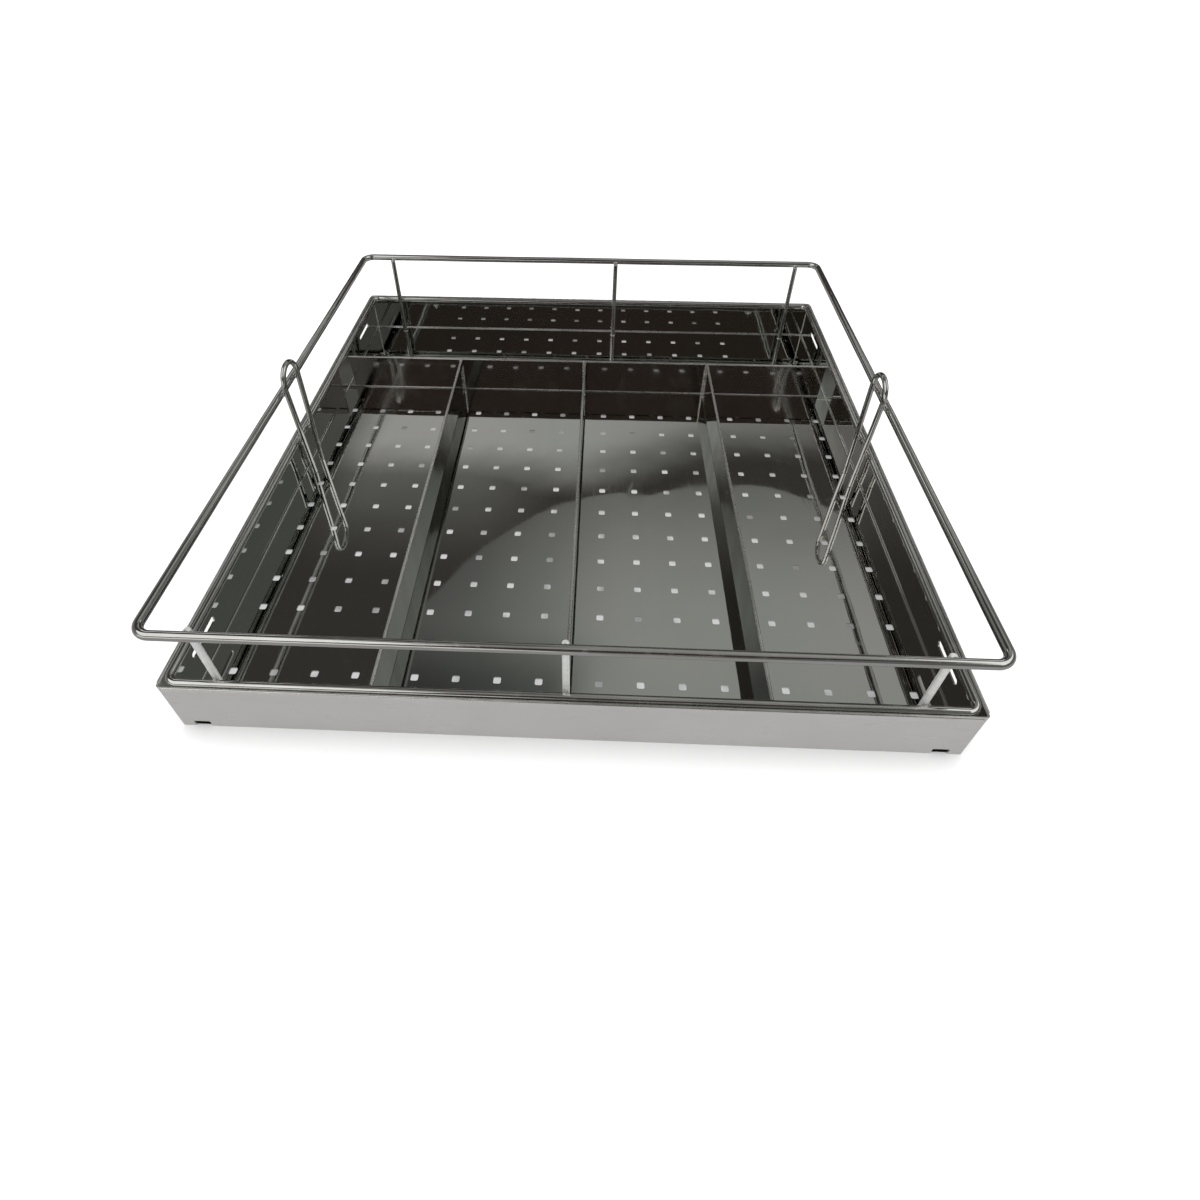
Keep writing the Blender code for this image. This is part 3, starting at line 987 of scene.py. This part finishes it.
def pad_material():
    """A white pad that glows softly and unevenly: painted light standing in for lit ground seen through
    the holes.
    """
    material, nodes = new_material("lit_pad")
    patches = nodes.noise(nodes.object_coordinates(), 26.0, detail=2.0)
    strength = nodes.ramp(patches, 0.36, 0.56, 0.28, 0.60)
    x, y, _ = nodes.split(nodes.object_coordinates())
    # Painted light: the glow fades towards the right and towards the back.
    strength = nodes.math("MULTIPLY", strength, nodes.ramp(x, 100 * MM, 190 * MM, 1.0, 0.72))
    strength = nodes.math("MULTIPLY", strength, nodes.ramp(y, -20 * MM, 80 * MM, 1.0, 0.74))
    glow = nodes.add("ShaderNodeEmission")
    nodes.feed(glow.inputs["Strength"], strength)
    nodes.surface(glow.outputs[0])
    return material


def card_material():
    """Matt black card: painted shade put under the pan."""
    material, nodes = new_material("black_card")
    plain = nodes.add("ShaderNodeBsdfDiffuse")
    plain.inputs["Color"].default_value = (0.01, 0.01, 0.01, 1.0)
    nodes.surface(plain.outputs[0])
    return material


def flat_stage(name, half_width, half_depth, height, material):
    """A flat rectangle that belongs to the stage."""
    bm = bmesh.new()
    corners = []
    for side, end in ((-1, -1), (1, -1), (1, 1), (-1, 1)):
        corners.append(bm.verts.new((side * half_width, end * half_depth, height)))
    bm.faces.new(corners)
    mesh = bpy.data.meshes.new(name)
    bm.to_mesh(mesh)
    bm.free()
    mesh.materials.append(material)
    item = bpy.data.objects.new(name, mesh)
    bpy.context.scene.collection.objects.link(item)
    return item


def make_stage():
    """Pale ground; under the pan a black card as painted shade, and on it a glowing pad, painted light
    that shows through the holes.
    """
    flat_stage("ground", GROUND_SIZE / 2, GROUND_SIZE / 2, 0.0, ground_material())
    half_width, half_depth, _ = inside_of_pan()
    flat_stage("black_card", half_width, half_depth, CARD_HEIGHT, card_material())
    pad_width = half_width - PAD_MARGIN
    pad_depth = half_depth - PAD_MARGIN
    pad = flat_stage("lit_pad", pad_width, pad_depth, PAD_HEIGHT, pad_material())
    pad.visible_diffuse = False
    pad.visible_shadow = False


# ---- the room the steel mirrors, in ceiling coordinates: direction x/z and y/z ----
REFLECTOR_CENTRE = (0.22, 0.60)
REFLECTOR_RADIUS = 0.568
REFLECTOR_BLUR = 0.004
REFLECTOR_WAVE = 0.027
REFLECTOR_TONE = (0.335, 0.342, 0.325)
REFLECTOR_DIM_SIDE = 0.32
REFLECTOR_DIM_TOP = 0.53
REFLECTOR_DIM_FOOT = 0.42
FAR_RIGHT_TONE = (0.130, 0.130, 0.126)
CEILING_TONE = (0.28, 0.28, 0.27)
DARK_TONE = (0.046, 0.042, 0.038)
BEHIND_CAMERA_TONE = (0.036, 0.027, 0.022)
BACK_WALL_TONE = (0.41, 0.41, 0.40)
BACK_WALL_SOFTNESS = 0.11
SIDE_WALL_TONE = (0.17, 0.17, 0.165)
LOW_BEHIND_TONE = (0.16, 0.155, 0.15)
LOW_BEHIND_SIDE_TONE = (0.90, 0.89, 0.86)
WINDOW_TONE = (1.15, 1.15, 1.12)
WINDOWS = (
    ((-0.95, -0.50), (0.70, 0.85)),
    ((1.05, -0.10), (0.48, 0.90)),
    ((0.96, 0.10), (0.51, 0.45)),
    ((1.05, 1.60), (0.20, 0.50)),
    ((-1.05, 1.60), (0.20, 0.50)),
)
GROUND_LIGHT = 1.5


def room_colour(nodes):
    """A dark room with a round grey reflector, a grey ceiling, windows and a pale back wall."""
    direction = nodes.add("ShaderNodeTexCoord").outputs["Generated"]
    x, y, z = nodes.split(direction)
    height = nodes.math("MAXIMUM", z, 0.02)
    u = nodes.math("DIVIDE", x, height)
    v = nodes.math("DIVIDE", y, height)
    drift = nodes.noise(direction, 5.0, detail=2.0)
    drift = nodes.math("MULTIPLY", nodes.math("SUBTRACT", drift, 0.5), 0.02)

    def distance_to(centre, radii=(1.0, 1.0)):
        du = nodes.math("DIVIDE", nodes.math("SUBTRACT", u, centre[0]), radii[0])
        dv = nodes.math("DIVIDE", nodes.math("SUBTRACT", v, centre[1]), radii[1])
        squares = nodes.math("ADD", nodes.math("MULTIPLY", du, du), nodes.math("MULTIPLY", dv, dv))
        return nodes.math("SQRT", squares)

    # The dark room, its side walls and its ceiling.
    room = nodes.mix(nodes.ramp(y, -0.35, 0.25), BEHIND_CAMERA_TONE, DARK_TONE)
    sideways = nodes.math("ABSOLUTE", x)
    low_sides = nodes.math("MULTIPLY", nodes.ramp(sideways, 0.50, 0.80), nodes.ramp(z, 0.75, 0.35))
    room = nodes.mix(low_sides, room, SIDE_WALL_TONE)
    ceiling = nodes.ramp(distance_to((0.0, 0.0)), 0.75, 0.45)
    room = nodes.mix(ceiling, room, CEILING_TONE)

    # Low behind the camera: grey in the middle, bright to both sides.
    to_the_side = nodes.math("ABSOLUTE", u)
    low_behind = nodes.math("MULTIPLY", nodes.ramp(z, 0.38, 0.27), nodes.ramp(y, -0.2, -0.5))
    low_colour = nodes.mix(nodes.ramp(to_the_side, 0.35, 0.60), LOW_BEHIND_TONE, LOW_BEHIND_SIDE_TONE)
    room = nodes.mix(low_behind, room, low_colour)

    # The pale back wall: a soft lower edge that climbs to the right, with haze below it on the left.
    back_edge = nodes.ramp(u, -0.08, 0.36, 1.205, 1.355)
    past_edge = nodes.math("SUBTRACT", v, back_edge)
    back = nodes.ramp(past_edge, -BACK_WALL_SOFTNESS, BACK_WALL_SOFTNESS)
    haze = nodes.math("MULTIPLY", nodes.ramp(v, 0.85, 1.30), nodes.ramp(u, -0.30, -0.05, 0.35, 0.0))
    back = nodes.math("MAXIMUM", back, haze)
    back = nodes.math("MULTIPLY", back, nodes.ramp(v, 1.75, 1.58))
    back = nodes.math("MULTIPLY", back, nodes.ramp(u, -0.10, 0.40, 1.0, 0.60))
    back = nodes.math("MULTIPLY", back, nodes.ramp(to_the_side, 0.50, 0.60, 1.0, 0.45))
    room = nodes.mix(back, room, BACK_WALL_TONE)

    # The round reflector: a slightly wavy rim, dimmer to the left, at the top and at the foot.
    wave = nodes.math("MULTIPLY", nodes.ramp(u, 0.03, 0.12), nodes.ramp(u, 0.12, 0.375, 1.0, -1.0))
    wave = nodes.math("MULTIPLY", wave, nodes.ramp(u, 0.375, 0.455, REFLECTOR_WAVE, 0.0))
    unevenness_of_edge = nodes.math("ADD", drift, wave)
    distance = nodes.math("ADD", distance_to(REFLECTOR_CENTRE), unevenness_of_edge)
    disc = nodes.ramp(distance, REFLECTOR_RADIUS + REFLECTOR_BLUR, REFLECTOR_RADIUS - REFLECTOR_BLUR)
    dimming = nodes.ramp(u, -0.33, 0.12, REFLECTOR_DIM_SIDE, 1.0)
    dimming = nodes.math("MULTIPLY", dimming, nodes.ramp(v, 0.75, 1.22, 1.0, REFLECTOR_DIM_TOP))
    foot = nodes.ramp(v, 0.62, 0.78, REFLECTOR_DIM_FOOT, 1.0)
    foot = nodes.mix(nodes.ramp(u, -0.08, 0.02), foot, (1.0, 1.0, 1.0))
    dimming = nodes.math("MULTIPLY", dimming, foot)
    disc_colour = nodes.mix(dimming, (0.0, 0.0, 0.0), REFLECTOR_TONE)
    room = nodes.mix(disc, room, disc_colour)

    # Past the reflector on the right, and the windows over everything.
    far_right = nodes.math("MULTIPLY", nodes.ramp(u, 0.575, 0.60), nodes.ramp(v, 1.62, 1.50))
    room = nodes.mix(far_right, room, FAR_RIGHT_TONE)
    for centre, radii in WINDOWS:
        window = nodes.ramp(distance_to(centre, radii), 1.08, 0.94)
        room = nodes.mix(window, room, WINDOW_TONE)
    return room


def make_world():
    """White to the camera, even light for the ground, and the room for the steel."""
    world = bpy.data.worlds.new("studio")
    bpy.context.scene.world = world
    world.use_nodes = True
    nodes = Nodes(world.node_tree)
    path = nodes.add("ShaderNodeLightPath")
    steel = nodes.add("ShaderNodeBackground")
    nodes.feed(steel.inputs["Color"], room_colour(nodes))
    even = nodes.add("ShaderNodeBackground")
    even.inputs["Color"].default_value = (1.0, 1.0, 1.0, 1.0)
    even.inputs["Strength"].default_value = GROUND_LIGHT
    mix = nodes.add("ShaderNodeMixShader")
    nodes.link(path.outputs["Is Glossy Ray"], mix.inputs[0])
    nodes.link(even.outputs[0], mix.inputs[1])
    nodes.link(steel.outputs[0], mix.inputs[2])
    nodes.surface(mix.outputs[0], "ShaderNodeOutputWorld")


def make_camera():
    """The photograph's viewpoint, in front of the tray and above it, with its off-centre framing."""
    camera = bpy.data.cameras.new("camera")
    camera.sensor_width = CAMERA_SENSOR
    camera.lens = CAMERA_LENS
    camera.shift_x, camera.shift_y = CAMERA_SHIFT
    item = bpy.data.objects.new("camera", camera)
    item.location = CAMERA_PLACE
    item.rotation_euler = (math.radians(CAMERA_TILT), 0.0, math.radians(CAMERA_TURN))
    bpy.context.scene.collection.objects.link(item)
    bpy.context.scene.camera = item


def main():
    """Build every piece, then the stage."""
    materials = {
        "mirror": metal("mirror_sheet", mirror_sheet),
        "satin": metal("satin_sheet", satin_sheet, metallic=0.84),
        "wire": metal("drawn_wire", drawn_wire),
        "divider": metal("divider_steel", divider_steel),
        "long_divider": metal("long_divider_steel", long_divider_steel),
        "edge": metal("rubbed_edge", rubbed_edge, metallic=0.90),
        "satin_wire": metal("satin_wire", satin_wire, metallic=0.66),
        "weld": metal("weld_metal", weld_metal),
    }
    make_walls(materials)
    make_floor(materials)
    make_bend(materials)
    make_rings(materials["wire"])
    make_posts(materials["satin_wire"], materials["wire"])
    make_loops(materials["wire"])
    make_dividers(materials)
    make_gallery_welds(materials["weld"])
    make_rim_tacks(materials["weld"])
    make_divider_welds(materials["weld"])
    make_stage()
    make_world()
    make_camera()
    bpy.context.scene.view_settings.view_transform = "Standard"


main()
